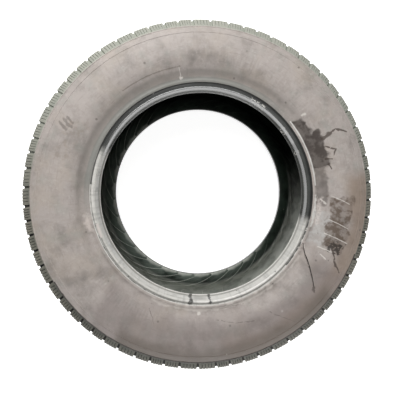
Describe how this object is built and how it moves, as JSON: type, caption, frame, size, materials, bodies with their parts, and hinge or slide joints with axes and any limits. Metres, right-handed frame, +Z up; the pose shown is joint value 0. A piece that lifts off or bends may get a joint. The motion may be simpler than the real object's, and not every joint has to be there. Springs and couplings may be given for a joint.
{
  "type": "car tyre",
  "caption": "Old worn radial car tyre off its wheel: dusty scuffed sidewalls, worn block tread with slots and ring grooves, open beads, lying flat.",
  "frame": {"origin": "on the tyre's axis, in the plane of the floor that its lower sidewall rests on", "axes": "+Z up along the tyre's axis; +X to the right and +Y away from the viewer's feet, so that the cut in the upper sidewall lies at 35 degrees from +X towards -Y"},
  "size_m": [0.6757, 0.6758, 0.215],
  "materials": {
    "tyre_rubber": "aged black rubber, dull and dusty grey on the sidewalls, darker and glossy on the beads, with scuffs, stains and a straight cut"
  },
  "bodies": {
    "root": {"tyre": "tyre_rubber"}
  },
  "joints": []
}
